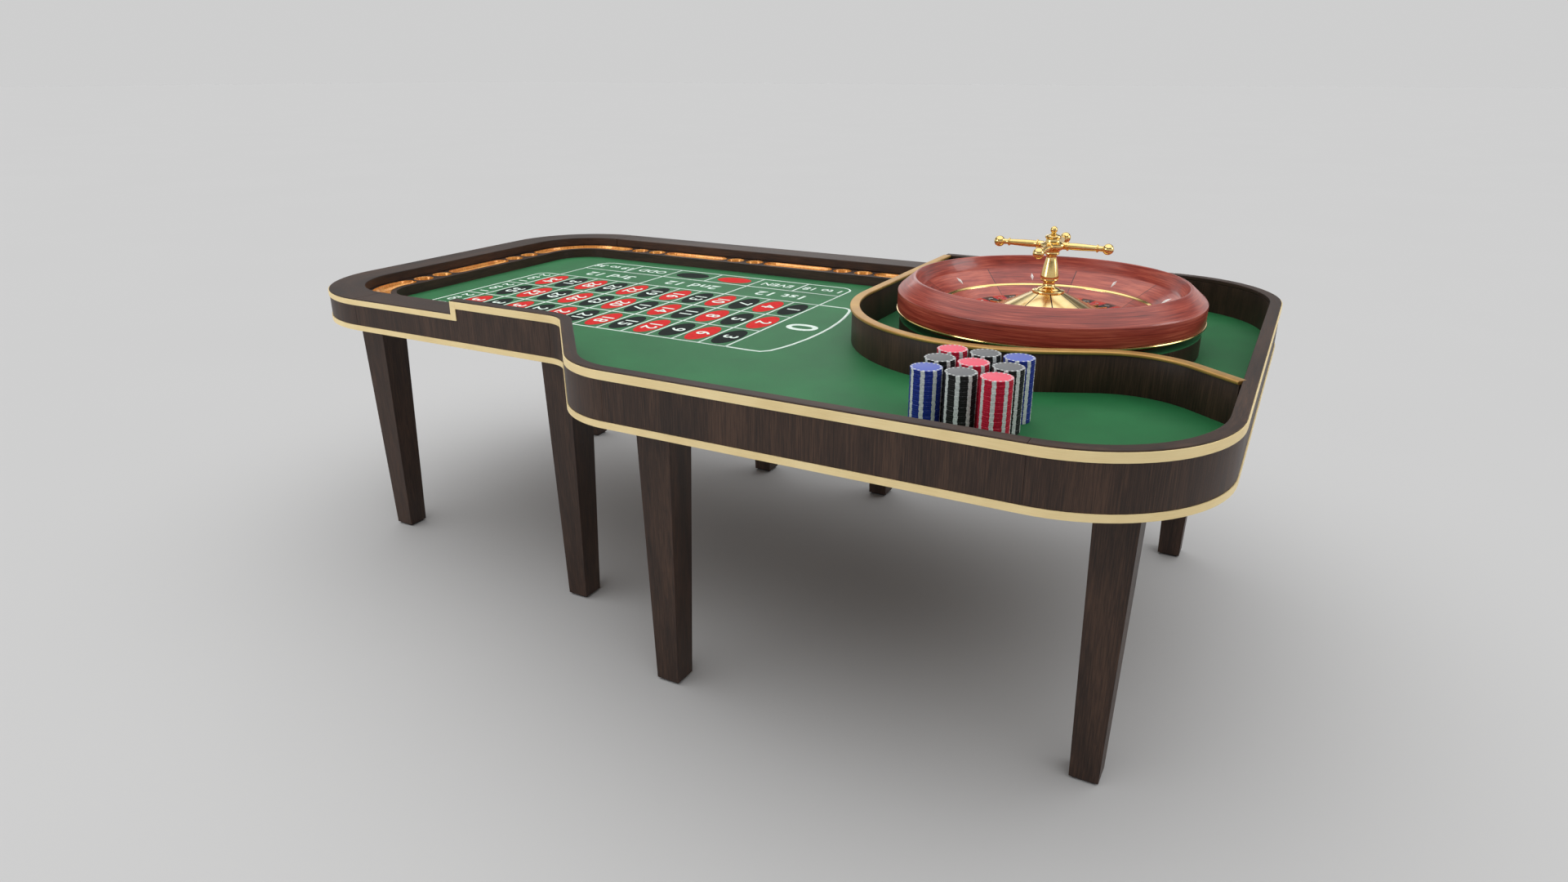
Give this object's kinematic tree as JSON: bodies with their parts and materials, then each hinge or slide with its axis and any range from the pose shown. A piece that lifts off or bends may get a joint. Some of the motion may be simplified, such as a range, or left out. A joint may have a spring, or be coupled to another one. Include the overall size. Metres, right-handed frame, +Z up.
{
  "type": "roulette table",
  "caption": "Roulette table on square tapered legs: cloth betting field with a chip rail and armrest, and a fenced pit holding a spinning wheel, with stacked chips.",
  "frame": {"origin": "on the floor, under the centre of the plan's bounding box", "axes": "+X towards the wheel end, +Y towards the players' side, +Z up"},
  "size_m": [2.764, 1.717, 1.0775],
  "materials": {
    "plywood": "sanded birch ply",
    "steel": "black painted steel",
    "glide_rubber": "matte",
    "dark_wood": "satin lacquered dark stained veneer",
    "liner_amber": "satin amber lacquered brass",
    "trim_gold": "satin",
    "cap_gold": "polished",
    "green_cloth": "short nap wool cloth",
    "mahogany": "gloss lacquered mahogany",
    "polished_brass": "polished",
    "deflector_pearl": "polished",
    "bearing_steel": "ground",
    "number_ring": "gloss, red and black fields",
    "pocket_ring": "red and black enamel",
    "chip_blue": "moulded composite",
    "chip_red": "moulded composite",
    "chip_black": "moulded composite"
  },
  "bodies": {
    "table": {"bed_panel_left": "plywood", "bed_panel_right": "plywood", "bed_battens": "plywood", "leg_plates": "steel", "leg_bolts": "steel", "legs_front": "dark_wood", "legs_back": "dark_wood", "leg_glides": "glide_rubber", "apron_left": "dark_wood", "apron_front": "dark_wood", "apron_curve": "dark_wood", "apron_deep": "dark_wood", "apron_right": "dark_wood", "apron_back": "dark_wood", "wall_lining": "dark_wood", "rim_front": "dark_wood", "rim_right": "dark_wood", "rim_back": "dark_wood", "armrest_left": "dark_wood", "armrest_back": "dark_wood", "armrest_front": "dark_wood", "chip_rail_left": "dark_wood", "chip_rail_back": "dark_wood", "chip_rail_front": "dark_wood", "trough_liners": "liner_amber", "cup_liners": "liner_amber", "trim_lower": "trim_gold", "trim_high": "trim_gold", "trim_armrest": "trim_gold", "trim_steps": "trim_gold", "fence_wall": "dark_wood", "fence_cap": "cap_gold", "layout_cloth": "green_cloth", "pit_cloth": "green_cloth", "wheel_pedestal": "dark_wood", "pedestal_cloth": "green_cloth", "wheel_bowl": "mahogany", "bowl_lip_ring": "polished_brass", "stator_ring": "polished_brass", "deflectors": "deflector_pearl", "wheel_spindle": "bearing_steel"},
    "rotor": {"wheel_bearings": "bearing_steel", "rotor_disc": "mahogany", "number_ring": "number_ring", "pocket_ring": "pocket_ring", "pocket_frets": "polished_brass", "rotor_cone": "polished_brass", "turret_column": "polished_brass", "turret_cross": "polished_brass", "turret_finial": "polished_brass"},
    "stack_front_left": {"chips_front_left": "chip_blue"},
    "stack_front_middle": {"chips_front_middle": "chip_black"},
    "stack_front_right": {"chips_front_right": "chip_red"},
    "stack_middle_left": {"chips_middle_left": "chip_black"},
    "stack_centre": {"chips_centre": "chip_red"},
    "stack_middle_right": {"chips_middle_right": "chip_black"},
    "stack_back_left": {"chips_back_left": "chip_red"},
    "stack_back_middle": {"chips_back_middle": "chip_black"},
    "stack_back_right": {"chips_back_right": "chip_blue"}
  },
  "joints": [
    {"name": "rotor_spin", "type": "hinge", "parent": "table", "child": "rotor", "pos_m": [0.814, 0.2295, 0.84], "axis": [0, 0, 1], "continuous": true},
    {"name": "stack_front_left_lift", "type": "slide", "parent": "table", "child": "stack_front_left", "axis": [0, 0, 1], "range_m": [0, 0.25]},
    {"name": "stack_front_middle_lift", "type": "slide", "parent": "table", "child": "stack_front_middle", "axis": [0, 0, 1], "range_m": [0, 0.25]},
    {"name": "stack_front_right_lift", "type": "slide", "parent": "table", "child": "stack_front_right", "axis": [0, 0, 1], "range_m": [0, 0.25]},
    {"name": "stack_middle_left_lift", "type": "slide", "parent": "table", "child": "stack_middle_left", "axis": [0, 0, 1], "range_m": [0, 0.25]},
    {"name": "stack_centre_lift", "type": "slide", "parent": "table", "child": "stack_centre", "axis": [0, 0, 1], "range_m": [0, 0.25]},
    {"name": "stack_middle_right_lift", "type": "slide", "parent": "table", "child": "stack_middle_right", "axis": [0, 0, 1], "range_m": [0, 0.25]},
    {"name": "stack_back_left_lift", "type": "slide", "parent": "table", "child": "stack_back_left", "axis": [0, 0, 1], "range_m": [0, 0.25]},
    {"name": "stack_back_middle_lift", "type": "slide", "parent": "table", "child": "stack_back_middle", "axis": [0, 0, 1], "range_m": [0, 0.25]},
    {"name": "stack_back_right_lift", "type": "slide", "parent": "table", "child": "stack_back_right", "axis": [0, 0, 1], "range_m": [0, 0.25]}
  ]
}
